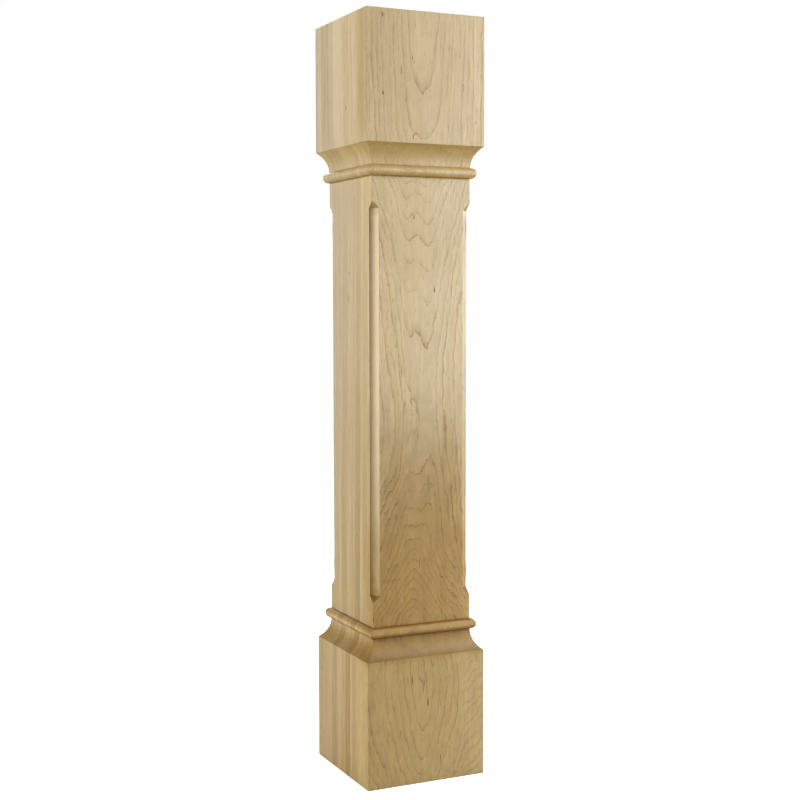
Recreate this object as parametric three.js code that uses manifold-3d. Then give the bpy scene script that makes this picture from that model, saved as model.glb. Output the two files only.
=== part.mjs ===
// Fluted cabinet post
// One post milled in one piece from a glued-up maple blank, for the corner of a kitchen island or a base
// cabinet. It is square in plan and the same at both ends: a plain block, a cove that narrows to the
// shaft, and a half-round bead. Each arris of the shaft carries a quarter-round flute that stops short of
// the beads and runs out of the wood on a ramp. Millimetres, +Z up. The origin is the middle of the foot,
// the front faces -Y.

import * as THREE from "three";
import { mergeVertices } from "three/addons/utils/BufferGeometryUtils.js";
import Module from "manifold-3d";

// Driving dimensions
const POST_HEIGHT = 901.7; // 35 1/2 in, the height left under a 36 in worktop
const BLOCK_WIDTH = 152.4; // 6 in square
const BLOCK_HEIGHT = 150.8; // 5 15/16 in
const SHAFT_WIDTH = 127.0; // 5 in square
const COVE_HEIGHT = 24.6; // 31/32 in
const NECK_STEP = 0.4; // the thin end of the cove stands this far proud of the shaft
const BEAD_HEIGHT = 12.7; // 1/2 in, a true half round
const BEAD_CORNER_RADIUS = 1.5; // the bead's corners are sanded round in plan
const FLUTE_RADIUS = 9.0;
const FLUTE_MARGIN = 29.4; // 1 5/32 in of plain arris between a bead and the point of a flute
const RAMP_ANGLE = THREE.MathUtils.degToRad(52); // between the arris and the ramp at a flute's end

// How finely the round forms are cut
const COVE_STEPS = 12;
const BEAD_STEPS = 16;
const BEAD_CORNER_STEPS = 4;
const FLUTE_SIDES = 40; // a multiple of eight, so that flat sides meet at the faces of the shaft

// Clearance that a cutter has past the wood
const CUTTER_MARGIN = 10;

// Sizes that follow from the driving dimensions
const BLOCK_HALF = BLOCK_WIDTH / 2;
const SHAFT_HALF = SHAFT_WIDTH / 2;
const NECK_HALF = SHAFT_HALF + NECK_STEP;
const COVE_TOP = BLOCK_HEIGHT + COVE_HEIGHT;
const COVE_DEPTH = BLOCK_HALF - NECK_HALF;
const COVE_RADIUS = (COVE_DEPTH ** 2 + COVE_HEIGHT ** 2) / (2 * COVE_DEPTH);
const BEAD_RADIUS = BEAD_HEIGHT / 2;
const BEAD_TOP = COVE_TOP + BEAD_HEIGHT;
const FLUTE_POINT = BEAD_TOP + FLUTE_MARGIN;
const FLUTE_FULL = FLUTE_POINT + FLUTE_RADIUS / Math.sin(RAMP_ANGLE); // where the ramp's axis meets the arris
const QUARTER_TURN = Math.PI / 2;
const CORNER_TURNS = [0.5, 1.5, 2.5, 3.5].map((quarters) => quarters * QUARTER_TURN);

const wasm = await Module();
wasm.setup();

// A closed geometry as a solid that can be joined and cut
function toSolid(geometry) {
  geometry.deleteAttribute("normal");
  geometry.deleteAttribute("uv");
  const merged = mergeVertices(geometry);
  const mesh = new wasm.Mesh({
    numProp: 3,
    vertProperties: new Float32Array(merged.attributes.position.array),
    triVerts: new Uint32Array(merged.index.array),
  });
  return new wasm.Manifold(mesh);
}

function toGeometry(solid) {
  const mesh = solid.getMesh();
  const geometry = new THREE.BufferGeometry();
  geometry.setAttribute("position", new THREE.BufferAttribute(new Float32Array(mesh.vertProperties), 3));
  geometry.setIndex(new THREE.BufferAttribute(new Uint32Array(mesh.triVerts), 1));
  geometry.computeVertexNormals();
  return geometry;
}

// One side of the outline from the foot up to the shaft, as (half width, height)
function lowerOutline() {
  const coveSweep = Math.asin(COVE_HEIGHT / COVE_RADIUS);
  const cove = new THREE.EllipseCurve(
    NECK_HALF + COVE_RADIUS, COVE_TOP, COVE_RADIUS, COVE_RADIUS, Math.PI + coveSweep, Math.PI, true,
  );
  const bead = new THREE.EllipseCurve(
    SHAFT_HALF, COVE_TOP + BEAD_RADIUS, BEAD_RADIUS, BEAD_RADIUS, -QUARTER_TURN, QUARTER_TURN, false,
  );
  return [new THREE.Vector2(BLOCK_HALF, 0), ...cove.getPoints(COVE_STEPS), ...bead.getPoints(BEAD_STEPS)];
}

// The whole outline of the post, seen square on
function postOutline() {
  const lower = lowerOutline();
  const upper = lower.map((point) => new THREE.Vector2(point.x, POST_HEIGHT - point.y)).reverse();
  const right = [...lower, ...upper];
  const left = right.map((point) => new THREE.Vector2(-point.x, point.y)).reverse();
  return new THREE.Shape([...right, ...left]);
}

// The outline run straight through along Y
function outlineSlab() {
  const depth = BLOCK_WIDTH + 2 * CUTTER_MARGIN;
  const slab = new THREE.ExtrudeGeometry(postOutline(), { depth, bevelEnabled: false });
  slab.rotateX(QUARTER_TURN);
  slab.translate(0, depth / 2, 0);
  return slab;
}

// The square post with its mouldings mitred round the corners: what two crossing slabs share
function mouldedBlank() {
  const frontToBack = toSolid(outlineSlab());
  const sideToSide = toSolid(outlineSlab().rotateZ(QUARTER_TURN));
  return frontToBack.intersect(sideToSide);
}

// What the sanding takes off one corner of one bead, for the corner at +X +Y
function beadCornerWaste(bottom) {
  const outer = SHAFT_HALF + BEAD_RADIUS;
  const centre = outer - BEAD_CORNER_RADIUS;
  const rounding = new THREE.EllipseCurve(
    centre, centre, BEAD_CORNER_RADIUS, BEAD_CORNER_RADIUS, 0, QUARTER_TURN, false,
  );
  const clear = outer + CUTTER_MARGIN;
  const waste = new THREE.Shape([
    ...rounding.getPoints(BEAD_CORNER_STEPS).reverse(),
    new THREE.Vector2(clear, centre),
    new THREE.Vector2(clear, clear),
    new THREE.Vector2(centre, clear),
  ]);
  const geometry = new THREE.ExtrudeGeometry(waste, { depth: BEAD_HEIGHT, bevelEnabled: false });
  return geometry.translate(0, 0, bottom);
}

// A round bar of the flute's radius along Z, between two heights
function fluteBar(bottom, top) {
  const bar = new THREE.CylinderGeometry(FLUTE_RADIUS, FLUTE_RADIUS, top - bottom, FLUTE_SIDES);
  bar.rotateX(QUARTER_TURN);
  return bar.translate(0, 0, (bottom + top) / 2);
}

// The top end of a flute: the bar on the arris, met by one that leans out of the wood, towards +X
function fluteRamp() {
  const reach = 3 * FLUTE_RADIUS;
  const upright = toSolid(fluteBar(-reach, reach));
  const leaning = toSolid(fluteBar(-reach, reach).rotateY(RAMP_ANGLE));
  return upright.intersect(leaning);
}

// What one flute takes off its arris: a bar with a ramp at both ends. The arris is the Z axis here.
function fluteWaste() {
  const halfLength = POST_HEIGHT / 2 - FLUTE_FULL;
  const topRamp = fluteRamp().translate([0, 0, halfLength]);
  const bottomRamp = topRamp.rotate([180, 0, 0]);
  return toSolid(fluteBar(-halfLength, halfLength)).add(topRamp).add(bottomRamp);
}

// The finished post: the moulded blank, less the bead corners and the four flutes
function postSolid() {
  let post = mouldedBlank();
  const beadBottoms = [COVE_TOP, POST_HEIGHT - BEAD_TOP];
  const arrisReach = SHAFT_HALF * Math.SQRT2;
  const flute = fluteWaste().translate([arrisReach, 0, POST_HEIGHT / 2]);
  for (const turn of CORNER_TURNS) {
    for (const bottom of beadBottoms) {
      post = post.subtract(toSolid(beadCornerWaste(bottom).rotateZ(turn - QUARTER_TURN / 2)));
    }
    post = post.subtract(flute.rotate([0, 0, THREE.MathUtils.radToDeg(turn)]));
  }
  return post;
}

// Clear maple, sanded and left without a finish
const maple = new THREE.MeshStandardMaterial({ color: 0xcdb489, roughness: 0.62, metalness: 0 });

const post = new THREE.Mesh(toGeometry(postSolid()), maple);
post.name = "post";

const object = new THREE.Group();
object.add(post);

export default object;
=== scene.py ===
"""Fluted cabinet post: the finished maple piece with its grain, and the studio that it stands in.

The post is one piece milled from a blank of three boards glued face to face. Its mesh is a stack of
rings: each ring is the plan of the post at one height, and the mouldings, the sanded arrises and the
stopped flutes all come from the named sizes below. Metres, +Z up, front towards -Y.
"""

import logging
import math
from collections.abc import Callable
from dataclasses import dataclass
from enum import Enum
from typing import Any

import bpy
import numpy as np
from mathutils import Matrix, Vector

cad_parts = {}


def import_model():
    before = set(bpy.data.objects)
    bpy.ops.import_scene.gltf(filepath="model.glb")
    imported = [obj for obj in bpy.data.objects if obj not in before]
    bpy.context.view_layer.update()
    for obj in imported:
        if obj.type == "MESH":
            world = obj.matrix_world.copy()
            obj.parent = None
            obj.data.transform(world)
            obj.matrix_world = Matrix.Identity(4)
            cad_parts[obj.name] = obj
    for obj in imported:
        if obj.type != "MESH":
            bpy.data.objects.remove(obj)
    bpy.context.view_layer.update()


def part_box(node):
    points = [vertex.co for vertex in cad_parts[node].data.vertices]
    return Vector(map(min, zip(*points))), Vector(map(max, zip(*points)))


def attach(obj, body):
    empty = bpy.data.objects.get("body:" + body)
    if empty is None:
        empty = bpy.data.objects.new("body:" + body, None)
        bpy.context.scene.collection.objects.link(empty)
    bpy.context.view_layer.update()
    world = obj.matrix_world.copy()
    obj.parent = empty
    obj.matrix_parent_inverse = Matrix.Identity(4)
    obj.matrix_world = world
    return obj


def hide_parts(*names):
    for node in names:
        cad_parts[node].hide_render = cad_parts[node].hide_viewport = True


MM = 0.001
LOG = logging.getLogger("fluted_post")
PALE_MAPLE = (0.612, 0.482, 0.268)
CORNERS = 4
TINY = 1e-9

Rgb = tuple[float, float, float]
Size = tuple[float, float, float]
Pair = tuple[float, float]
Curve = tuple[Pair, ...]
Ramp = tuple[float, ...]
"""A smooth step: where it starts and ends, and its value there where that isn't nought and one."""
Band = tuple[Ramp, Ramp]
"""A step up and a step down."""
Place = tuple["Wire", "Wire", "Wire"]


def operation(kind: str, turned: bool = False) -> Callable[..., "Wire"]:
    """Makes the method that adds one kind of Math node.

    Args:
        kind: The kind of node.
        turned: Whether the other value comes first.

    Returns:
        The method.
    """
    def method(self: "Wire", *others: Any) -> "Wire":
        """Adds the node."""
        values = (*others, self) if turned else (self, *others)
        return self.tree.add("ShaderNodeMath", {"operation": kind}, dict(enumerate(values)))
    return method


@dataclass(eq=False)
class Wire:
    """One number that flows through a shader tree. Arithmetic on it adds Math nodes."""

    tree: "ShaderTree"
    socket: bpy.types.NodeSocket

    __add__ = operation("ADD")
    __radd__ = operation("ADD", turned=True)
    __sub__ = operation("SUBTRACT")
    __rsub__ = operation("SUBTRACT", turned=True)
    __mul__ = operation("MULTIPLY")
    __rmul__ = operation("MULTIPLY", turned=True)
    __truediv__ = operation("DIVIDE")
    __pow__ = operation("POWER")
    __abs__ = operation("ABSOLUTE")
    __lt__ = operation("LESS_THAN")
    __gt__ = operation("GREATER_THAN")
    root = operation("SQRT")
    whole = operation("FLOOR")
    part = operation("FRACT")
    """What is left above the whole number."""
    sine = operation("SINE")
    cosine = operation("COSINE")
    greater = operation("MAXIMUM")

    def ramp(self, start: float, end: float, first: float = 0.0, last: float = 1.0) -> "Wire":
        """A smooth step.

        Args:
            start: The value at which the step starts.
            end: The value at which it ends. It may be the lower of the two.
            first: What the step is at its start.
            last: What it is at its end.

        Returns:
            The step.
        """
        sizes = (start, end, first, last) if start <= end else (end, start, last, first)
        sockets = {"Value": self, **dict(zip(("From Min", "From Max", "To Min", "To Max"), sizes))}
        return self.tree.add("ShaderNodeMapRange", {"interpolation_type": "SMOOTHSTEP"}, sockets)

    def within(self, *ramps: Ramp) -> "Wire":
        """The product of smooth steps: one where all are past, and nought before any of them."""
        return math.prod(self.ramp(*ramp) for ramp in ramps)


class ShaderTree:
    """A node tree that is written as Python expressions."""

    def __init__(self, node_tree: bpy.types.NodeTree) -> None:
        """Takes over an empty tree.

        Args:
            node_tree: The tree of a material or a world. Its nodes are removed.
        """
        self.node_tree = node_tree
        node_tree.nodes.clear()

    def add(self, kind: str, settings: dict[str, Any] | None = None, sockets: dict[Any, Any] | None = None,
            output: Any = 0) -> Wire:
        """Adds one node.

        Args:
            kind: The node's type.
            settings: Its settings, set before its sockets. "points" fills a curve.
            sockets: Values or wires for its inputs, by name or number.
            output: The output to return, by name or number.

        Returns:
            The output as a wire.
        """
        node = self.node_tree.nodes.new(kind)
        for name, value in (settings or {}).items():
            if name == "points":
                self._set_points(node.mapping, value)
            else:
                setattr(node, name, value)
        for name, value in (sockets or {}).items():
            if isinstance(value, Wire):
                self.node_tree.links.new(value.socket, node.inputs[name])
            else:
                node.inputs[name].default_value = value
        return Wire(self, node.outputs[output] if len(node.outputs) else None)

    @staticmethod
    def _set_points(mapping: bpy.types.CurveMapping, points: Curve) -> None:
        """Fills a curve, which has two points when it is new."""
        curve = mapping.curves[0]
        while len(curve.points) < len(points):
            curve.points.new(0.5, 0.5)
        for point, place in zip(curve.points, points):
            point.location = place
        mapping.update()

    def vector(self, x: Any, y: Any, z: Any) -> Wire:
        """Three numbers as one vector."""
        return self.add("ShaderNodeCombineXYZ", None, {0: x, 1: y, 2: z})

    def blobs(self, place: tuple[Any, Any, Any], size: Size, detail: float = 2.0) -> Wire:
        """Smooth noise, from a half below nought to a half above, with blobs of the given size."""
        cells = self.vector(*(axis / length for axis, length in zip(place, size)))
        return self.add("ShaderNodeTexNoise", None, {"Vector": cells, "Scale": 1.0, "Detail": detail}) - 0.5

    def chance(self, number: Wire) -> Wire:
        """A random number from nought to one for each number."""
        return self.add("ShaderNodeTexWhiteNoise", {"noise_dimensions": "1D"}, {"W": number})

    def curve(self, points: Curve, value: Wire) -> Wire:
        """Reads a curve through the given points."""
        return self.add("ShaderNodeFloatCurve", {"points": points}, {"Value": value})

    def between(self, share: Wire, low: Any, high: Any) -> Wire:
        """A number part of the way between two others."""
        return self.add("ShaderNodeMix", {"data_type": "FLOAT"}, {0: share, 2: low, 3: high})

    def blend(self, share: Any, first: Any, second: Any, how: str = "MIX") -> Wire:
        """Two colours mixed. The share says how much of the second there is."""
        settings = {"data_type": "RGBA", "blend_type": how}
        return self.add("ShaderNodeMix", settings, {0: share, 6: first, 7: second}, 2)

    def tint(self, share: Wire, colour: Any, tint: Rgb) -> Wire:
        """A colour multiplied by another as far as the share says."""
        return self.blend(share, colour, rgba(tint), "MULTIPLY")

    def shade(self, colour: Any, level: Wire) -> Wire:
        """A colour made darker or lighter."""
        return self.blend(1.0, colour, self.grey(level), "MULTIPLY")

    def grey(self, value: Wire) -> Wire:
        """A number as a colour with three equal parts."""
        return self.add("ShaderNodeCombineColor", None, {0: value, 1: value, 2: value})


def rgba(colour: Rgb) -> tuple[float, float, float, float]:
    """A colour with full cover, as sockets take it."""
    return (*colour, 1.0)


@dataclass(frozen=True)
class PostSizes:
    """The sizes of the post that its finish follows, in mm."""

    height: float
    half_width: float
    """Half the width of the blocks."""
    flute_end: float
    """Height where a flute has its full depth."""
    quirks: tuple[float, ...]
    """Heights of the grooves on both sides of the beads, the lower bead's first."""


@dataclass(frozen=True)
class Point:
    """A point of the wood, as the layers of the finish read it. Lengths are in mm."""

    tree: ShaderTree
    post: PostSizes
    x: Wire
    """Across the post."""
    y: Wire
    """From front to back."""
    z: Wire
    """Height."""
    across: Wire
    """How squarely the face cuts the grain, from nought to one."""
    log: Place
    """The same point in the log that its board came from."""
    rings: Wire
    """The number of growth rings, whole at each dark line."""

    def along(self) -> Wire:
        """Height as a share of the post's height."""
        return self.z / self.post.height

    def from_middle(self) -> Wire:
        """How far it is above or below half height."""
        return abs(self.z - self.post.height / 2)

    def blobs(self, size: Size, detail: float = 2.0) -> Wire:
        """Smooth noise with blobs of the given size."""
        return self.tree.blobs((self.x, self.y, self.z), size, detail)


@dataclass(frozen=True)
class Board:
    """One board of the blank. It reads the rings from its own place in the log, so no two look alike."""

    front: float
    """Place of its front face along +Y, in mm."""
    mirror: Size
    """1 or -1 for each axis of the log."""
    shift: Size
    """Its place in the log, in mm, after the mirroring."""


@dataclass(frozen=True)
class Log:
    """The log that the boards came from, with its growth rings.

    The pith lies behind the face, swings from side to side and comes nearer and goes further away
    along the log. That is what draws the cathedral figure. Lengths are in mm.
    """

    boards: tuple[Board, ...] = (
        Board(-76.2, (1, 1, 1), (0, 0, 0)),
        Board(-25.5, (1, -1, 1), (6, 22, -210)),
        Board(34, (-1, -1, -1), (4, 0, 905)),
    )
    ring_width: float = 2.4
    face: float = 63.5
    """Depth of the first board's face in front of the log's origin."""
    nearness: Curve = (
        (0, .265), (.007, .241), (.028, .174), (.061, .107), (.108, .041), (.16, .02), (.21, .07),
        (.235, .2), (.28, .44), (.335, .7), (.395, .87), (.43, .94), (.49, .97), (.55, .94), (.625, .87),
        (.67, .8), (.73, .67), (.78, .53), (.8, .4), (.841, .235), (.899, .169), (1, .13),
    )
    """How near the pith comes along the post."""
    nearness_rings: float = 15
    """How many rings that curve is worth."""
    swing: Curve = (
        (0, .3), (.11, .35), (.22, .12), (.31, .18), (.38, .42), (.43, .62), (.55, .5), (.7, .44), (1, .37),
    )
    """How far the pith swings to the right along the post."""
    swing_width: float = 30
    warp_size: Size = (21, 30, 120)
    warp: Ramp = (15, 45, 0.7, 2.3)
    """How many rings the grain warps by, away from the pith."""
    jitter_size: Size = (4.5, 6, 14)
    jitter: Ramp = (8, 32, 0.38, 0.88)
    """The same for the jitter of the lines."""
    jitter_by_height: tuple[Ramp, ...] = (
        (420, 340, 0, 0.35), (740, 760, 0, -0.24), (170, 150, 0, -0.24),
    )
    shaft: Band = ((240, 330), (760, 725))
    """Heights between which the rings make waves in front of the pith."""
    calm_shaft: Band = ((440, 470), (580, 540))
    wave_offset: float = 6
    wave_length: float = 33
    wave_reach: Ramp = (45, 20)
    """Distances from the pith over which the waves grow."""
    wave: float = 0.26
    calm: float = 0.14
    """How much lower a wave is on the calm part."""
    flank: Ramp = (330, 250, -20, -6)
    """How far the flanks move out from the pith, by height."""
    roundness: float = 70
    """How round a ring is between its top and its flanks."""
    spread: Ramp = (120, 200, 0.062, 0.078)
    """How many rings each mm of a flank crosses, by height."""
    spread_high: Ramp = (730, 800, 0, 0.014)

    def find(self, tree: ShaderTree, place: Place) -> Place:
        """Turns a place in the post into the same place in the log that its board came from.

        Args:
            tree: The material's tree.
            place: The place in the post.

        Returns:
            The place in the log.
        """
        read = [[axis * m + s for axis, m, s in zip(place, b.mirror, b.shift)] for b in self.boards]
        found = read[0]
        for board, own in zip(self.boards[1:], read[1:]):
            behind = place[1] > board.front
            found = [tree.between(behind, *pair) for pair in zip(found, own)]
        return tuple(found)

    def growth(self, tree: ShaderTree, place: Place, length: float) -> Wire:
        """Counts growth rings.

        Args:
            tree: The material's tree.
            place: The place in the log.
            length: Length of the post.

        Returns:
            The number of rings, whole at each dark line.
        """
        x, y, z = place
        along = z / length
        pith = tree.curve(self.swing, along) * self.swing_width - self.swing_width / 2
        off = abs(x - pith)
        warp = tree.blobs(place, self.warp_size) * off.ramp(*self.warp)
        unrest = sum((z.ramp(*r) for r in self.jitter_by_height), start=off.ramp(*self.jitter))
        jitter = tree.blobs(place, self.jitter_size, 3) * unrest
        height = (self.wave - z.within(*self.calm_shaft) * self.calm) * z.within(*self.shaft)
        wave = ((x + self.wave_offset) * (math.tau / self.wave_length)).cosine()
        wave = wave * off.ramp(*self.wave_reach) * height
        flank = off + z.ramp(*self.flank)
        spread = z.ramp(*self.spread) + z.ramp(*self.spread_high)
        sides = ((flank * flank + self.roundness).root() + flank) * spread
        nearness = tree.curve(self.nearness, along) * self.nearness_rings
        return nearness + sides + wave + warp + jitter - (y + self.face) / self.ring_width


class Layer:
    """One step of the finish, laid on the colour below it."""

    def lay(self, point: Point, colour: Any) -> Wire:
        """Lays the step.

        Args:
            point: The point of the wood.
            colour: The colour below.

        Returns:
            The colour with this step on it.
        """
        raise NotImplementedError


@dataclass(frozen=True)
class BoardEdges:
    """The edges of the glued-up boards, which show on the sides of the post as light and dark bands."""

    lower: Curve = (
        (0, .5), (.08, .5), (.22, .52), (.275, .66), (.3, .38), (.38, .34), (.4, .6), (.455, .66),
        (.49, .5), (.55, .48), (.565, .24), (.645, .19), (.66, .66), (.69, .7), (.705, .44), (.76, .42),
        (.8, .6), (.92, .62), (1, .68),
    )
    """Lightness from the back to the front, nearer the foot."""
    upper: Curve = (
        (0, .5), (.03, .5), (.06, .66), (.11, .62), (.13, .3), (.22, .36), (.26, .26), (.28, .44),
        (.35, .46), (.38, .66), (.55, .64), (.58, .5), (.67, .52), (.69, .66), (.72, .48), (.8, .6),
        (.83, .42), (1, .34),
    )
    """The same on the top block."""
    drift_size: Size = (60, 1, 260)
    drift: float = 5
    """How far the bands wander, in mm."""
    lean: float = 8.7
    """How far they lean over the shaft, in mm."""
    leaning: Band = ((75, 700), (790, 700))
    outside: Ramp = (30, 60)
    fade: Ramp = (220, 560, 1, 0.35)
    change: Ramp = (700, 790)
    """Heights over which the lower bands give way to the upper ones."""
    side: Ramp = (50, 60)
    corner: Ramp = (74, 64)

    def read(self, point: Point) -> tuple[Wire, Wire]:
        """Finds how light the edge of each board is.

        Args:
            point: The point of the wood.

        Returns:
            The lightness about nought, and how far the point belongs to a side.
        """
        tree, x, y, z = point.tree, point.x, point.y, point.z
        drift = tree.blobs((x, 0, z), self.drift_size, 1) * self.drift - z.within(*self.leaning) * self.lean
        half = point.post.half_width
        depth = (half - y + drift * abs(x).ramp(*self.outside)) / (2 * half)
        lower, upper = (tree.curve(points, depth) - 0.5 for points in (self.lower, self.upper))
        band = tree.between(z.ramp(*self.change), lower * z.ramp(*self.fade), upper)
        return band, abs(x).ramp(*self.side) * abs(y).ramp(*self.corner)


@dataclass(frozen=True)
class WoodTone(Layer):
    """The colour of the wood under its ring lines: by height, by board edge, by year and in patches, with
    painted shade lower down and painted light and sheen on the faces.

    A pair of numbers holds the value on the sides and the back, and the value on the front.
    """

    warm: Rgb = (0.4, 0.256, 0.086)
    painted_sheen: Rgb = (0.97, 1.02, 1.25)
    # Painted sheen: tint that whitens the front towards its right and the sides towards the back. A tint
    # multiplies what is below it.
    """Tint of the outer side of each face. A tint multiplies what is below it."""
    foot_tint_and_shade: Rgb = (1.08, 1.03, 0.82)
    # Tint towards the foot, warmer and more saturated: partly the wood's own tone, partly painted shade.
    """Tint of the wood nearer the foot."""
    edges: BoardEdges = BoardEdges()
    front: Ramp = (-40, -56)
    """Depths over which the face of the front board takes over."""
    front_warmth_and_shade: Curve = (
        (0, .48), (.155, .56), (.17, .9), (.27, 1), (.36, .96), (.44, .62), (.5, .16), (.55, .04),
        (.63, .0), (.7, .16), (.78, .16), (.9, .34), (1, .36),
    )
    # How warm the front is along the post: partly the wood's own tone, partly painted shade that darkens the
    # lower shaft.
    """How warm the front is along the post."""
    rest: Ramp = (0, 0.75, 0.72, 0.2)
    # How warm the other sides are along the post, warmer towards the foot: partly the wood's own tone, partly
    # painted shade.
    """How warm the other sides are along the post."""
    patch_size: Size = (34, 26, 150)
    zone_size: Size = (2.6, 1, 400)
    """Number of rings in a zone, and its length in mm."""
    tones: tuple[float, float, float] = (0.4, 0.5, 0.05)
    """How much patches, zones and years change the tone."""
    cut: Ramp = (0.05, 0.5)
    cut_tone: Pair = (0.26, 0.38)
    """How much warmer the wood is where the face cuts across the grain."""
    paler_sides: Ramp = (25, 62, 0, 0.3)
    paler_height: Band = ((280, 320), (430, 380))
    band_tone: float = 0.8
    painted_sheen_side: Ramp = (-95, 70)
    painted_sheen_front: Ramp = (-80, 70, 0, 0.62)
    foot_tint_and_shade_height: Ramp = (420, 120)
    foot_tint_and_shade_share: Pair = (0.6, 1)
    slant: Ramp = (480, 400, 0, 0.0009)
    # Painted light: how much lighter each mm towards the right is on the front, by height.
    """How much lighter each mm towards the right is, by height."""
    shaded_height: Ramp = (400, 300)
    shaded: Pair = (0.36, 0.5)
    """How much darker the lower mouldings are where they cut across the grain."""
    curl_size: Size = (12, 12, 16)
    curl_length: float = 13
    curl_slope: float = 0.9
    curl_unrest: float = 26
    curl_sharpness: float = 4
    curl_side: Ramp = (40, 58)
    curl_height: Ramp = (150, 140)
    curl_front: Ramp = (-60, -75, 0, 0.16)
    streak_size: Size = (30, 2.6, 420)
    band_light: float = 0.3
    streak_light: float = 0.2
    mottle_size: Size = (11, 11, 20)
    mottle: float = 0.1
    mottle_front: Ramp = (470, 350, 0.12, 0.24)
    year_light: float = 0.06
    zone_light: float = 0.12
    bright_height: Band = ((430, 480), (660, 600))
    bright: float = 0.045
    """How much lighter the middle of the front is."""

    def lay(self, point: Point, colour: Any) -> Wire:
        """Turns the pale colour below into that of the wood."""
        tree, x, y, z = point.tree, point.x, point.y, point.z
        facing = y.ramp(*self.front)
        band, beside = self.edges.read(point)
        year = tree.chance(point.rings.whole() + 0.5) - 0.5
        zone = tree.blobs((point.rings, 0, point.log[2]), self.zone_size, 1)
        parts = (tree.blobs(point.log, self.patch_size), zone, year)
        along = point.along()
        # Warmth by height: partly the wood's own tone, partly painted shade, darker lower down.
        tone = tree.between(facing, along.ramp(*self.rest), tree.curve(self.front_warmth_and_shade, along))
        tone = sum((part * share for part, share in zip(parts, self.tones)), start=tone)
        tone = tone + point.across.ramp(*self.cut) * tree.between(facing, *self.cut_tone)
        tone = tone - abs(x).ramp(*self.paler_sides) * z.within(*self.paler_height) * facing
        colour = tree.blend(tone - band * beside * self.band_tone, colour, rgba(self.warm))
        # Painted sheen: each face whitens towards the right of the front and the back of the sides.
        outside = tree.between(facing, y.ramp(*self.painted_sheen_side), x.ramp(*self.painted_sheen_front))
        colour = tree.tint(outside, colour, self.painted_sheen)
        # Partly painted shade, partly the wood's own tone: warmer and more saturated towards the foot.
        low = z.ramp(*self.foot_tint_and_shade_height) * tree.between(facing, *self.foot_tint_and_shade_share)
        colour = tree.tint(low, colour, self.foot_tint_and_shade)
        shaded = point.across * z.ramp(*self.shaded_height) * tree.between(facing, *self.shaded)
        streak = point.blobs(self.streak_size, 1)
        mottle = point.blobs(self.mottle_size, 3) * (self.mottle + facing * z.ramp(*self.mottle_front))
        edges = (band * self.band_light + streak * self.streak_light) * beside
        level = 1 + edges - shaded - self._curl(point)
        level = level + year * self.year_light + zone * self.zone_light + mottle
        # Painted light: the lower front grows lighter towards the right.
        level = level + (x * z.ramp(*self.slant) + z.within(*self.bright_height) * self.bright) * facing
        return tree.shade(colour, level)

    def _curl(self, point: Point) -> Wire:
        """How dark the ripples of curly grain are, on the right of the lower block's front.

        Args:
            point: The point of the wood.

        Returns:
            The darkness.
        """
        x, y, z = point.x, point.y, point.z
        phase = (z - x * self.curl_slope + point.blobs(self.curl_size) * self.curl_unrest) / self.curl_length
        ripple = ((phase * math.tau).sine() * 0.5 + 0.5) ** self.curl_sharpness
        return ripple * x.ramp(*self.curl_side) * z.ramp(*self.curl_height) * y.ramp(*self.curl_front)


@dataclass(frozen=True)
class RingLines(Layer):
    """The dark line that ends each year's growth, crisp outside and soft inside."""

    mark: Rgb = (0.58, 0.45, 0.29)
    """Tint of a line."""
    sharpness: Ramp = (12, 32, 17, 6)
    """Power that draws the line, from the middle of the post outwards."""
    softness: Ramp = (12, 32, 5, 2.5)
    """Power that draws the shade inside the line."""
    depth: Ramp = (12, 32, 0.66, 0.32)
    year_depth: float = 0.5
    low_shaft: Band = ((430, 350), (150, 190))
    low_depth: float = 0.35
    """How much darker the lines are on the lower shaft."""
    break_size: Size = (6, 6, 30)
    broken: Ramp = (-0.14, 0.1, 0.2, 1)
    shade: float = 0.3
    side: Ramp = (52, 57)
    corner: Ramp = (63.2, 61)
    side_fade: float = 0.88
    cut_fade: Ramp = (0.05, 0.4, 1, 0)
    """How much shows where the face cuts across the grain."""
    curl_side: Ramp = (42, 60)
    curl_height: Ramp = (150, 140, 0, 0.8)
    end_depths: Pair = (0.6, 0.2)
    """Distances below the ends over which the end grain's rings appear, in mm."""
    end_share: float = 0.6

    def lay(self, point: Point, colour: Any) -> Wire:
        """Draws the lines."""
        x, y, z = point.x, point.y, point.z
        year = point.tree.chance(point.rings.whole())
        inside = point.rings.part()
        out = abs(x)
        depth = out.ramp(*self.depth) + year * self.year_depth + z.within(*self.low_shaft) * self.low_depth
        line = inside ** out.ramp(*self.sharpness) * depth * point.blobs(self.break_size).ramp(*self.broken)
        shade = inside ** out.ramp(*self.softness) * year * year * self.shade
        beside = out.ramp(*self.side) * abs(y).ramp(*self.corner)
        curled = x.ramp(*self.curl_side) * z.ramp(*self.curl_height)
        shown = (1 - beside * self.side_fade) * point.across.ramp(*self.cut_fade) * (1 - curled)
        half = point.post.height / 2
        on_end = point.from_middle().ramp(*(half - below for below in self.end_depths), 0, self.end_share)
        return point.tree.tint((line + shade) * shown.greater(on_end), colour, self.mark)


@dataclass(frozen=True)
class Fibres(Layer):
    """Fine fibres, wider streaks and short dark pores along the grain."""

    fine_size: Size = (1.2, 1.2, 14)
    fine: float = 0.28
    wide_size: Size = (4.5, 4.5, 60)
    wide: float = 0.26
    pore_size: Size = (1.6, 1.6, 9)
    pores: Ramp = (0.12, 0.28, 1, 0.78)

    def lay(self, point: Point, colour: Any) -> Wire:
        """Lays the fibres."""
        level = point.blobs(self.pore_size, 1).ramp(*self.pores)
        level = level + point.blobs(self.fine_size) * self.fine + point.blobs(self.wide_size) * self.wide
        return point.tree.shade(colour, level)


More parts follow.
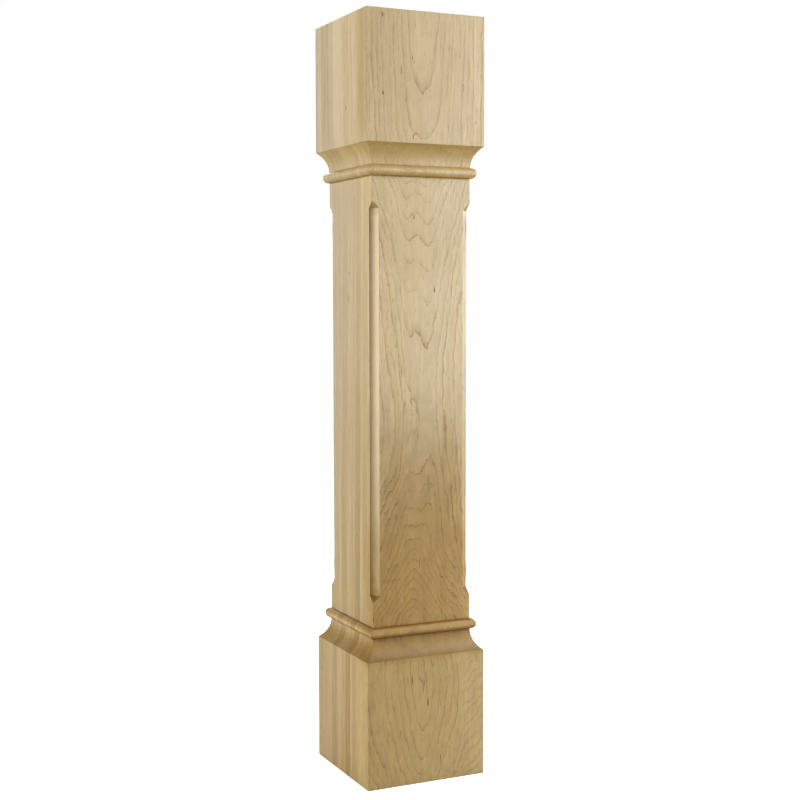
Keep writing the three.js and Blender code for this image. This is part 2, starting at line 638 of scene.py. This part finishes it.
@dataclass(frozen=True)
class Mark:
    """A mineral fleck or a pin knot: a small dark spot, longer along the grain."""

    across: float
    """Its place across its side: along +X on the front, along +Y on the left. Lengths are in mm."""
    height: float
    half_width: float
    half_length: float
    depth: float
    """How dark it is, from nought to one."""


@dataclass(frozen=True)
class Flecks(Layer):
    """Small dark mineral flecks that are scattered, and larger marks that have their places."""

    colour: Rgb = (0.36, 0.26, 0.17)
    """Tint of a fleck."""
    cell: Size = (11, 11, 42)
    size: Ramp = (0.08, 0.04)
    chosen: Ramp = (0.6, 0.95, 0, 0.6)
    """How many cells have a fleck, and how dark the darkest is."""
    skin: float = -60
    """How far out the marks of a side start, in mm."""
    edge_size: Size = (2, 2, 3)
    reach: Ramp = (1.15, 0.35)
    """Where a mark fades, in halves of its size."""
    front: tuple[Mark, ...] = (
        Mark(-10, 667, 1.2, 3.6, 0.9), Mark(16.5, 582, 1.2, 4, 0.9), Mark(-26, 488, 0.8, 9, 0.7),
        Mark(-22, 449, 0.8, 6, 0.7), Mark(9, 355, 0.7, 15, 0.5), Mark(-3.4, 262, 0.7, 9, 0.5),
        Mark(-55, 894, 1.3, 3.4, 0.9), Mark(-17.6, 848, 0.9, 3.4, 0.8), Mark(-32, 833, 0.9, 7, 0.8),
        Mark(-55, 806, 1.5, 2.6, 0.9), Mark(-17, 758, 1.3, 3.6, 0.8), Mark(-30, 127, 0.8, 5, 0.6),
        Mark(-25, 126, 0.8, 5, 0.6), Mark(-19, 125, 1.1, 6, 0.85), Mark(0, 118, 0.7, 24, 0.45),
        Mark(1.5, 96, 1.3, 6.5, 1.00), Mark(18, 26, 1, 8, 0.7),
    )
    left: tuple[Mark, ...] = (
        Mark(6, 574, 6, 7, 0.2), Mark(3.5, 603, 1.4, 2.6, 0.6), Mark(-18, 795, 1.4, 3.2, 0.7),
        Mark(-23, 880, 1, 2.4, 0.6),
    )

    def lay(self, point: Point, colour: Any) -> Wire:
        """Lays the flecks and the marks."""
        tree, x, y, z = point.tree, point.x, point.y, point.z
        cells = tree.vector(*(axis / room for axis, room in zip((x, y, z), self.cell)))
        cells = {"Vector": cells, "Scale": 1}
        near = tree.add("ShaderNodeTexVoronoi", None, cells, "Distance")
        chance = tree.add("ShaderNodeTexVoronoi", None, cells, "Color")
        chance = tree.add("ShaderNodeSeparateColor", None, {0: chance}, 0)
        cover = near.ramp(*self.size) * chance.ramp(*self.chosen)
        edge = point.blobs(self.edge_size)
        for marks, place, on_side in ((self.front, x, y < self.skin), (self.left, y, x < self.skin)):
            for mark in marks:
                beside, above = (place - mark.across) / mark.half_width, (z - mark.height) / mark.half_length
                reach = (beside * beside + above * above).root() + edge
                cover = cover.greater(reach.ramp(*self.reach) * on_side * mark.depth)
        return tree.tint(cover, colour, self.colour)


@dataclass(frozen=True)
class CutFaces(Layer):
    """What the cutters change: the faces across the grain and the quirks' burnish; with painted light and
    shade on the flutes, the lower bead and the quirks.
    """

    end_grain: Rgb = (0.92, 0.83, 0.44)
    """Tint of a face square across the grain."""
    front_end_grain: Rgb = (0.9, 0.77, 0.27)
    """Tint of the same on the front's mouldings."""
    painted_flute_highlight: Rgb = (1.24, 1.25, 1.36)
    # Painted highlight: tint of the band of the flutes on the left that faces the side light.
    """Tint of the milled flutes."""
    painted_flute_shade: Rgb = (0.82, 0.85, 0.96)
    # Painted shade: tint of the flutes on the right.
    """Tint of the flute on the right."""
    # Painted light: tint that lightens the lower bead.
    painted_bead_light: Rgb = (1.18, 1.19, 1.26)
    burnish_and_crease_shade: Rgb = (0.72, 0.62, 0.46)
    # Tint of the dark line in a quirk: partly the cutter's burnish, partly painted shade in the crease.
    """Tint of the cutter's dark line in a quirk."""
    mitre: Ramp = (-0.5, 0.5)
    """Distances in front of the mitre over which the front's mouldings start."""
    mouldings: Ramp = (310, 302)
    """Distances from half height over which the blocks give way to the mouldings."""
    flute: Band = ((52, 54), (63.2, 62))
    """Distances from the middle plane between which a flute lies, the same on both axes."""
    flute_fade: float = 8
    # Painted light on the flutes on the left: paler and whiter, more so higher up.
    left: Ramp = (80, -40)
    lit_height: Ramp = (215, 430, 0.25, 1)
    lit_side: Ramp = (62, 56, 0.5, 1)
    painted_flute_paling: float = 0.6
    right: Ramp = (0, 50)
    painted_flute_shade_height: Ramp = (250, 420)
    bead_edge: float = 0.5
    bead_skin: Ramp = (63, 64)
    quirk: Ramp = (1.3, 0.2)

    def lay(self, point: Point, colour: Any) -> Wire:
        """Changes the wood on the cut faces."""
        tree, x, y, z = point.tree, point.x, point.y, point.z
        front = (0 - y - abs(x)).ramp(*self.mitre) * point.from_middle().ramp(*self.mouldings)
        cut = tree.blend(front, rgba(self.end_grain), rgba(self.front_end_grain))
        colour = self._flutes(point, tree.blend(point.across, colour, cut, "MULTIPLY"))
        low, high = point.post.quirks[:2]
        edge = self.bead_edge
        # Painted light: the lower bead is made lighter.
        painted_bead_light_share = z.within((low - edge, low + edge), (high + edge, high - edge))
        painted_bead_light_share = painted_bead_light_share * abs(x).greater(abs(y)).ramp(*self.bead_skin)
        colour = tree.tint(painted_bead_light_share, colour, self.painted_bead_light)
        # Partly burnish, partly painted shade: a dark line in each quirk.
        for height in point.post.quirks:
            colour = tree.tint(abs(z - height).ramp(*self.quirk), colour, self.burnish_and_crease_shade)
        return colour

    def _flutes(self, point: Point, colour: Wire) -> Wire:
        """Paints light on the flutes on the left and shade on the flutes on the right.

        Args:
            point: The point of the wood.
            colour: The colour below.

        Returns:
            The colour with its flutes.
        """
        tree, x, z = point.tree, point.x, point.z
        end = point.post.height / 2 - point.post.flute_end
        in_flute = abs(x).within(*self.flute) * abs(point.y).within(*self.flute)
        in_flute = in_flute * point.from_middle().ramp(end, end - self.flute_fade)
        # Painted light: the flutes on the left are paler and whiter higher up, most on the band that faces
        # the side light.
        lit = in_flute * x.ramp(*self.left) * z.ramp(*self.lit_height)
        colour = tree.blend(lit * self.painted_flute_paling, colour, rgba(PALE_MAPLE))
        colour = tree.tint(lit * abs(x).ramp(*self.lit_side), colour, self.painted_flute_highlight)
        # Painted shade: the flutes on the right are darker, except near their lower ends.
        right = in_flute * x.ramp(*self.right) * z.ramp(*self.painted_flute_shade_height)
        return tree.tint(right, colour, self.painted_flute_shade)


@dataclass(frozen=True)
class Maple:
    """Clear hard maple, glued up from flat-sawn boards, sanded and left without a finish."""

    post: PostSizes
    log: Log = Log()
    layers: tuple[Layer, ...] = (WoodTone(), RingLines(), Fibres(), Flecks(), CutFaces())
    """The steps of the finish, from the lowest."""
    tooth_size: Size = (0.5, 0.5, 5)
    roughness: float = 0.52
    tooth_roughness: float = 0.16
    tooth_strength: float = 0.12
    tooth_height: float = 0.2 * MM
    reflection: float = 0.5

    def material(self) -> bpy.types.Material:
        """Makes the material.

        Returns:
            The material, ready for a piece.
        """
        material = bpy.data.materials.new("sanded_maple")
        material.use_nodes = True
        tree = ShaderTree(material.node_tree)
        texture = {name: tree.add("ShaderNodeTexCoord", None, None, name) for name in ("Object", "Normal")}
        place = tuple(tree.add("ShaderNodeSeparateXYZ", None, {0: texture["Object"]}, n) / MM for n in "XYZ")
        across = abs(tree.add("ShaderNodeSeparateXYZ", None, {0: texture["Normal"]}, "Z"))
        log = self.log.find(tree, place)
        rings = self.log.growth(tree, log, self.post.height)
        point = Point(tree, self.post, *place, across, log, rings)
        colour = rgba(PALE_MAPLE)
        for layer in self.layers:
            colour = layer.lay(point, colour)
        tree.add("ShaderNodeOutputMaterial", None, {"Surface": self._surface(point, colour)})
        return material

    def _surface(self, point: Point, colour: Wire) -> Wire:
        """Gives the wood the dull sheen and the fine tooth of a sanded face.

        Args:
            point: The point of the wood.
            colour: The wood's colour.

        Returns:
            The surface.
        """
        tooth = point.blobs(self.tooth_size)
        bump = point.tree.add("ShaderNodeBump", None, {
            "Strength": self.tooth_strength, "Distance": self.tooth_height, "Height": tooth,
        })
        return point.tree.add("ShaderNodeBsdfPrincipled", None, {
            "Base Color": colour, "Roughness": tooth * self.tooth_roughness + self.roughness, "Normal": bump,
            "Specular IOR Level": self.reflection,
        })


def eased_share(share: float) -> float:
    """A share, at most one, that starts and ends gently."""
    share = min(share, 1.0)
    return share * share * (3 - 2 * share)


@dataclass(frozen=True)
class Ring:
    """The plan of the post at one height."""

    height: float
    half_width: float
    tilt: float = 0.0
    """How far the ring dips into the mitre of the flutes' ends, from nought to one."""


@dataclass(frozen=True)
class RingCounts:
    """How many rings each part of the post's lower half has."""

    foot_arris: int = 10
    block: int = 14
    block_arris: int = 10
    cove: int = 30
    bead: int = 27
    plain_arris: int = 5
    ramp: int = 22
    mitre: int = 10
    settling: int = 5
    shaft: int = 19


@dataclass
class FlutedPost:
    """The post, milled from one blank."""

    height: float
    block_width: float
    block_height: float = 150.8 * MM
    shaft_width: float = 127.0 * MM
    cove_height: float = 24.6 * MM
    neck_step: float = 0.4 * MM
    bead_height: float = 12.7 * MM
    bead_corner: float = 1.5 * MM
    flute_radius: float = 9.0 * MM
    flute_margin: float = 29.4 * MM
    ramp_angle: float = math.radians(52)
    easing: float = 0.55 * MM
    """How far the sanding reaches on both sides of an arris."""
    sanding_points: int = 15
    """How many places a sanded point is the mean of."""
    foot_reach: Pair = (0.9, 3.1)
    """Where the close rings at the foot start and end, in easings."""
    block_reach: float = 1.2
    """How far the close rings at the top of the block reach, in easings."""
    plan_reach: float = 1.6
    """How far the close points reach from an arris, in easings."""
    plan_inner: Pair = (-0.4, 1.0)
    """Where they end past it, on a square corner and on a round one, in reaches."""
    point_clearance: float = 1.5 * MM
    """How far before a flute's point the rings draw together."""
    mitre_start: float = 0.62
    """How far before its full depth a flute's rings start to dip, in its radii."""
    settling: float = 4.0 * MM
    """Length over which the rings are level again."""
    arc_points: int = 40
    counts: RingCounts = RingCounts()
    plan_counts: tuple[int, int, int] = (6, 10, 13)
    """Points on a flat, at its edge and in the corner, for each half side."""
    sharp_angle: float = math.radians(34)
    """The least angle of an arris that isn't shaded smooth."""

    def __post_init__(self) -> None:
        """Works out the sizes that follow from the named ones."""
        self.block_half = self.block_width / 2
        self.shaft_half = self.shaft_width / 2
        self.bead_radius = self.bead_height / 2
        self.cove_top = self.block_height + self.cove_height
        self.bead_top = self.cove_top + self.bead_height
        self.flute_point = self.bead_top + self.flute_margin
        self.ramp_rise = self.flute_radius / math.sin(self.ramp_angle)
        self.flute_full = self.flute_point + self.ramp_rise
        self.full_dip = self.flute_radius * math.tan(self.ramp_angle / 2)

    def build(self) -> bpy.types.Object:
        """Builds and dresses the post.

        Returns:
            The piece, riding on its body in place of the plain solid.
        """
        lower = self._lower_rings()
        upper = [Ring(self.height - r.height, r.half_width, -r.tilt) for r in reversed(lower)]
        rows = np.array([self._plan(r) for r in lower + upper])
        piece = self._mesh(rows)
        piece.data.materials.append(self._finish().material())
        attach(piece, "root")
        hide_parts("post")
        return piece

    def _finish(self) -> Maple:
        """The wood, with its quirks and flutes where this post has them.

        Returns:
            The finish.
        """
        lower = (self.cove_top / MM, self.bead_top / MM)
        quirks = (*lower, *(self.height / MM - quirk for quirk in lower))
        return Maple(PostSizes(self.height / MM, self.block_half / MM, self.flute_full / MM, quirks))

    def _eased(self, path: np.ndarray, at: np.ndarray) -> np.ndarray:
        """Reads points off a path whose corners are sanded.

        Args:
            path: The path's corners, one in each row.
            at: Lengths along the path.

        Returns:
            The point at each length: the mean of what lies within the sanding's reach.
        """
        steps = np.hypot(*np.diff(path, axis=0).T)
        length = np.concatenate([[0.0], np.cumsum(steps)])
        reach = np.minimum(self.easing, np.minimum(at, length[-1] - at))
        spread = np.linspace(-1.0, 1.0, self.sanding_points)
        places = at[:, None] + reach[:, None] * spread[None, :]
        return np.stack([np.interp(places, length, path[:, i]).mean(axis=1) for i in (0, 1)], axis=1)

    def _cove(self) -> np.ndarray:
        """The cove from the block up to its neck, as half width and height."""
        neck = self.shaft_half + self.neck_step
        depth = self.block_half - neck
        radius = (depth ** 2 + self.cove_height ** 2) / (2 * depth)
        angle = np.linspace(math.asin(self.cove_height / radius), 0.0, self.arc_points)
        return np.stack([neck + radius * (1 - np.cos(angle)), self.cove_top - radius * np.sin(angle)], axis=1)

    def _lower_rings(self) -> list[Ring]:
        """Lists the rings from the foot to half height.

        Returns:
            The rings, from the lowest.
        """
        ease, counts = self.easing, self.counts
        near = self.block_reach * ease
        foot_start, foot_end = (reach * ease for reach in self.foot_reach)
        foot = [(self.block_half - 2 * ease, 0.0), (self.block_half, 0.0)]
        path = np.vstack([foot, self._cove()])
        block_end = 2 * ease + self.block_height
        end = block_end + np.hypot(*np.diff(path[2:], axis=0).T).sum()
        at = np.concatenate([
            np.linspace(foot_start, foot_end, counts.foot_arris),
            np.linspace(foot_end, block_end - near, counts.block)[1:-1],
            np.linspace(block_end - near, block_end + near, counts.block_arris),
            np.linspace(block_end + near, end, counts.cove)[1:],
        ])
        rings = [Ring(float(z), float(a)) for a, z in self._eased(path, at)]
        turn = math.acos(self.neck_step / self.bead_radius)
        for angle in np.linspace(-turn, math.pi / 2, counts.bead):
            out = self.shaft_half + self.bead_radius * math.cos(angle)
            rings.append(Ring(self.cove_top + self.bead_radius * (1 + math.sin(angle)), out))
        return rings + self._shaft_rings()

    def _shaft_rings(self) -> list[Ring]:
        """Lists the rings of the lower half of the shaft, close together where the flutes end.

        Returns:
            The rings, from the lowest.
        """
        counts = self.counts
        near = self.flute_point - self.point_clearance
        level = self.flute_full - self.mitre_start * self.flute_radius
        heights = [
            *np.linspace(self.bead_top, near, counts.plain_arris)[1:],
            *np.linspace(near, level, counts.ramp)[1:],
        ]
        rings = [Ring(float(z), self.shaft_half) for z in heights]
        for share in np.linspace(0.0, 1.0, counts.mitre)[1:]:
            height = level + share * (self.flute_full - level)
            rings.append(Ring(float(height), self.shaft_half, float(share)))
        for share in np.linspace(0.0, 1.0, counts.settling)[1:]:
            height = self.flute_full + share * self.settling
            rings.append(Ring(float(height), self.shaft_half, float(1 - share)))
        rest = np.linspace(self.flute_full + self.settling, self.height / 2, counts.shaft)[1:]
        return rings + [Ring(float(z), self.shaft_half) for z in rest]

    def _flute_reach(self, turn: np.ndarray, rise: np.ndarray) -> np.ndarray:
        """How far a flute reaches into the wood from its arris.

        Args:
            turn: Angles from the diagonal that leads into the wood.
            rise: Heights past the joint of the flute and its ramp, towards the flute's point.

        Returns:
            The reach: the flute's radius, or that of its leaning ramp where it is less.
        """
        lean = self.ramp_angle
        into = (np.cos(turn) * math.cos(lean)) ** 2 + np.sin(turn) ** 2
        slope = rise * np.cos(turn) * math.sin(lean) * math.cos(lean)
        rest = (rise * math.sin(lean)) ** 2 - self.flute_radius ** 2
        inner = np.maximum(slope ** 2 - into * rest, 0.0)
        return np.clip((np.sqrt(inner) - slope) / into, 0.0, self.flute_radius)

    def _corner(self, ring: Ring) -> np.ndarray:
        """The plan of one corner from its first flat to its second, in the corner where both are positive.

        Args:
            ring: The ring.

        Returns:
            The corner's points, a single one where it is square.
        """
        a = ring.half_width
        turn = np.linspace(math.pi / 4, -math.pi / 4, self.arc_points)
        from_end = min(ring.height, self.height - ring.height)
        dip = abs(ring.tilt) * self.full_dip * np.cos(turn)
        rise = self.flute_full - from_end + dip
        if from_end > self.flute_point and rise.min() < self.ramp_rise:
            reach = self._flute_reach(turn, rise)
            inward = np.stack([np.cos(turn) + np.sin(turn), np.cos(turn) - np.sin(turn)], axis=1)
            return a - reach[:, None] * (inward / math.sqrt(2))
        centre = self.shaft_half + self.bead_radius - self.bead_corner
        out = (a - centre) / self.bead_corner
        if self.cove_top < from_end < self.bead_top and out * math.sqrt(2) > 1:
            start = math.asin(min(out, 1.0))
            angle = np.linspace(start, math.pi / 2 - start, self.arc_points)
            return centre + self.bead_corner * np.stack([np.cos(angle), np.sin(angle)], axis=1)
        return np.array([(a, a)])

    def _plan(self, ring: Ring) -> np.ndarray:
        """The points of one ring, clockwise from the middle of the back.

        Args:
            ring: The ring.

        Returns:
            Its points, one in each row.
        """
        corner = self._corner(ring)
        path = np.vstack([(0.0, ring.half_width), corner, (ring.half_width, 0.0)])
        edge = corner[0][0]
        half = edge + np.hypot(*np.diff(corner, axis=0).T).sum() / 2
        near = self.plan_reach * self.easing
        square, rounded = self.plan_inner
        inner = edge + near * (square + eased_share((half - edge) / (2 * near)) * (rounded - square))
        flat, tight, rest = self.plan_counts
        at = np.concatenate([
            np.linspace(0.0, edge - near, flat)[:-1],
            np.linspace(edge - near, inner, tight)[:-1],
            np.linspace(inner, half, rest),
        ])
        side = self._eased(path, at)
        quarter = np.vstack([side, side[-2:0:-1, ::-1]])
        away = ring.half_width - quarter
        slant = away.sum(axis=1) / math.sqrt(2) / np.maximum(np.hypot(*away.T), TINY)
        height = ring.height - ring.tilt * self.full_dip * slant
        turned = []
        for _ in range(CORNERS):
            turned.append(np.column_stack([quarter, height]))
            quarter = np.column_stack([quarter[:, 1], -quarter[:, 0]])
        return np.vstack(turned)

    def _mesh(self, rows: np.ndarray) -> bpy.types.Object:
        """Skins the rings.

        Args:
            rows: The points of every ring, from the lowest.

        Returns:
            The object, closed at both ends.
        """
        count, around = rows.shape[:2]
        index = np.arange(count * around).reshape(count, around)
        low, high = index[:-1], index[1:]
        quads = np.stack([low, high, np.roll(high, -1, axis=1), np.roll(low, -1, axis=1)], axis=-1)
        faces = quads.reshape(-1, 4).tolist() + [index[0].tolist(), index[-1][::-1].tolist()]
        mesh = bpy.data.meshes.new("post_body")
        mesh.from_pydata(rows.reshape(-1, 3).tolist(), [], faces)
        mesh.shade_smooth()
        mesh.set_sharp_from_angle(angle=self.sharp_angle)
        mesh.validate()
        piece = bpy.data.objects.new("post_body", mesh)
        bpy.context.scene.collection.objects.link(piece)
        return piece


class LightRole(Enum):
    """What a studio light is for."""

    SIDE = "side"
    FRONT = "front"
    BACK = "back"


@dataclass(frozen=True)
class SoftBox:
    """One soft light that looks at the post."""

    role: LightRole
    azimuth: float
    """Degrees round the post: 0 is in front, and negative is towards -X."""
    elevation: float
    distance: float
    size: Pair
    power: float

    def build(self, target: Vector) -> None:
        """Makes the light.

        Args:
            target: The point that it looks at.
        """
        light = bpy.data.lights.new(self.role.value + "_light", "AREA")
        light.shape = "RECTANGLE"
        light.size, light.size_y = self.size
        light.energy = self.power
        lamp = bpy.data.objects.new(light.name, light)
        turn, lift = math.radians(self.azimuth), math.radians(self.elevation)
        away = Vector((math.sin(turn) * math.cos(lift), -math.cos(turn) * math.cos(lift), math.sin(lift)))
        lamp.location = target + away * self.distance
        lamp.rotation_mode = "QUATERNION"
        lamp.rotation_quaternion = (-away).to_track_quat("-Z", "Y")
        bpy.context.scene.collection.objects.link(lamp)


@dataclass
class Studio:
    """The pale floor, the soft lights and the camera."""

    post_height: float
    yaw: float = math.radians(25.24)
    """Turn of the camera from straight at the front, towards the post's left side."""
    pitch: float = math.radians(-3.31)
    roll: float = math.radians(-0.11)
    distance: float = 1.9118
    """From the camera to the post's middle, in heights of the post."""
    aim: Pair = (0.0016, 0.0200)
    """How far the camera stands to the right and up, in heights of the post."""
    lens: float = 63.8
    shift: float = -0.02
    """Rise of the lens, in widths of the picture."""
    sensor: float = 36.0
    floor_radius: float = 40.0
    floor_points: int = 96
    white: Rgb = (1.0, 1.0, 1.0)
    floor_colour: Rgb = (0.60, 0.59, 0.57)
    floor_roughness: float = 0.9
    floor_lift: float = 1.0
    """How much brighter the floor looks than the light on it makes it."""
    surround: float = 0.10
    lights: tuple[SoftBox, ...] = (
        SoftBox(LightRole.SIDE, -90.0, 20.0, 2.1, (1.2, 1.7), 38.0),
        SoftBox(LightRole.FRONT, 55.0, 25.0, 1.2, (0.6, 0.8), 19.0),
        SoftBox(LightRole.BACK, 165.0, 38.0, 2.2, (1.4, 1.4), 42.0),
    )

    def build(self) -> None:
        """Makes everything round the post."""
        target = Vector((0.0, 0.0, self.post_height / 2))
        for light in self.lights:
            light.build(target)
        self._camera()
        self._floor()
        self._world()
        bpy.context.scene.view_settings.view_transform = "Standard"

    def _camera(self) -> None:
        """Makes the camera at the photograph's viewing angle."""
        forward = Vector((
            math.sin(self.yaw) * math.cos(self.pitch),
            math.cos(self.yaw) * math.cos(self.pitch),
            math.sin(self.pitch),
        ))
        right = Vector((math.cos(self.yaw), -math.sin(self.yaw), 0.0))
        up = right.cross(forward)
        centre = Vector((0.0, 0.0, self.post_height / 2))
        place = centre + self.post_height * (self.aim[0] * right + self.aim[1] * up - self.distance * forward)
        data = bpy.data.cameras.new("camera")
        data.lens = self.lens
        data.sensor_width = self.sensor
        data.shift_y = self.shift
        camera = bpy.data.objects.new("camera", data)
        facing = Matrix((right, up, -forward)).transposed().to_4x4()
        camera.matrix_world = Matrix.Translation(place) @ facing @ Matrix.Rotation(self.roll, 4, "Z")
        bpy.context.scene.collection.objects.link(camera)
        bpy.context.scene.camera = camera

    def _floor(self) -> None:
        """Makes the round floor, which looks as white as the surround except in the post's shadow."""
        turns = [math.tau * i / self.floor_points for i in range(self.floor_points)]
        rim = [(self.floor_radius * math.cos(t), self.floor_radius * math.sin(t), 0.0) for t in turns]
        mesh = bpy.data.meshes.new("floor")
        mesh.from_pydata(rim, [], [list(range(self.floor_points))])
        floor = bpy.data.objects.new("floor", mesh)
        bpy.context.scene.collection.objects.link(floor)
        material = bpy.data.materials.new("pale_floor")
        material.use_nodes = True
        tree = ShaderTree(material.node_tree)
        seen = tree.add("ShaderNodeLightPath", None, None, "Is Camera Ray")
        surface = tree.add("ShaderNodeBsdfPrincipled", None, {
            "Base Color": rgba(self.floor_colour), "Roughness": self.floor_roughness,
            "Specular IOR Level": 0.0, "Emission Strength": 1.0,
            "Emission Color": tree.grey(seen * self.floor_lift),
        })
        tree.add("ShaderNodeOutputMaterial", None, {"Surface": surface})
        mesh.materials.append(material)

    def _world(self) -> None:
        """Makes the surround: white to look at, and softer as a light."""
        world = bpy.data.worlds.new("surround")
        world.use_nodes = True
        bpy.context.scene.world = world
        tree = ShaderTree(world.node_tree)
        seen = tree.add("ShaderNodeLightPath", None, None, "Is Camera Ray")
        light, backdrop = (
            tree.add("ShaderNodeBackground", None, {"Color": rgba(self.white), "Strength": strength})
            for strength in (self.surround, 1.0)
        )
        surface = tree.add("ShaderNodeMixShader", None, {0: seen, 1: light, 2: backdrop})
        tree.add("ShaderNodeOutputWorld", None, {"Surface": surface})


def main() -> None:
    """Builds the post and the studio round it, and reports each piece."""
    logging.basicConfig(level=logging.INFO, format="%(name)s: %(message)s")
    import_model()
    low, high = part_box("post")
    post = FlutedPost(height=high.z - low.z, block_width=high.x - low.x)
    piece = post.build()
    LOG.info("%s: %d faces", piece.name, len(piece.data.polygons))
    studio = Studio(post_height=post.height)
    studio.build()
    LOG.info("studio: %d lights", len(studio.lights))


if __name__ == "__main__":
    main()
